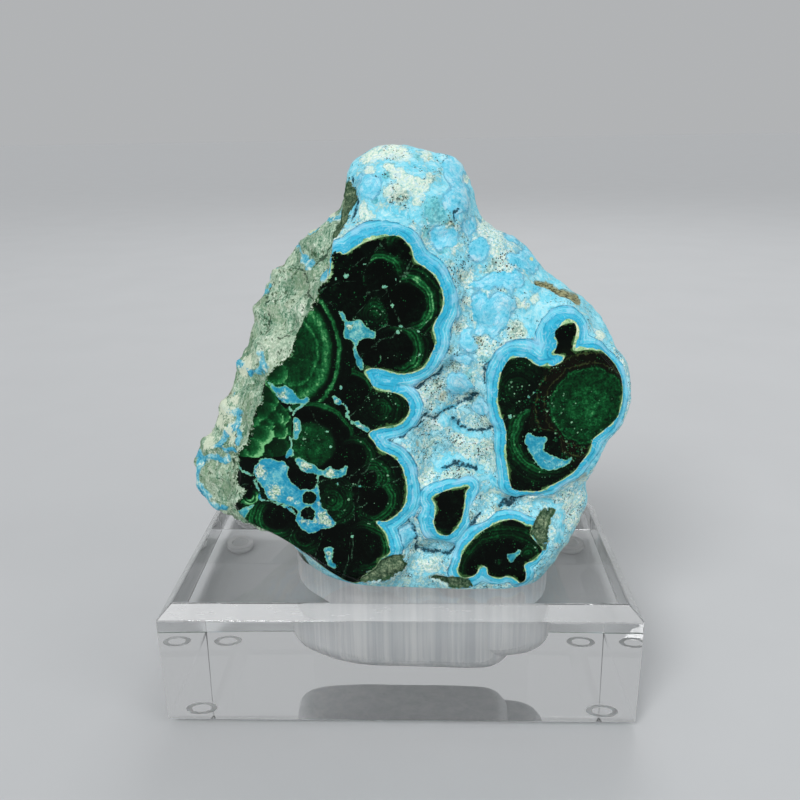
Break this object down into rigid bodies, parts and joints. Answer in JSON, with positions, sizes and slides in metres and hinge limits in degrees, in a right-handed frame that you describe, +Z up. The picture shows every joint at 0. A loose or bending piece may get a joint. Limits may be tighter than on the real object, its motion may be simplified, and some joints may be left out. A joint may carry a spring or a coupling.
{
  "type": "polished malachite specimen on a clear display block",
  "caption": "Upright polished malachite and chrysocolla specimen whose foot stands in a milled pocket of a clear chamfered display block on round bumper feet.",
  "frame": {"origin": "on the table, under the middle of the display block, where the bumper feet stand", "axes": "+Z up, +X along the block's long side, -Y out of the stone's polished face"},
  "size_m": [0.11, 0.06, 0.1312],
  "materials": {
    "polished_malachite": "polished face, rough sides and back",
    "clear_acrylic": "clear polished faces, finely sanded chamfer, frosted milled pocket",
    "clear_bumper": "clear, soft, glossy"
  },
  "bodies": {
    "root": {"malachite_stone": "polished_malachite", "acrylic_block": "clear_acrylic", "foot_front_left": "clear_bumper", "foot_front_right": "clear_bumper", "foot_rear_left": "clear_bumper", "foot_rear_right": "clear_bumper"}
  },
  "joints": []
}
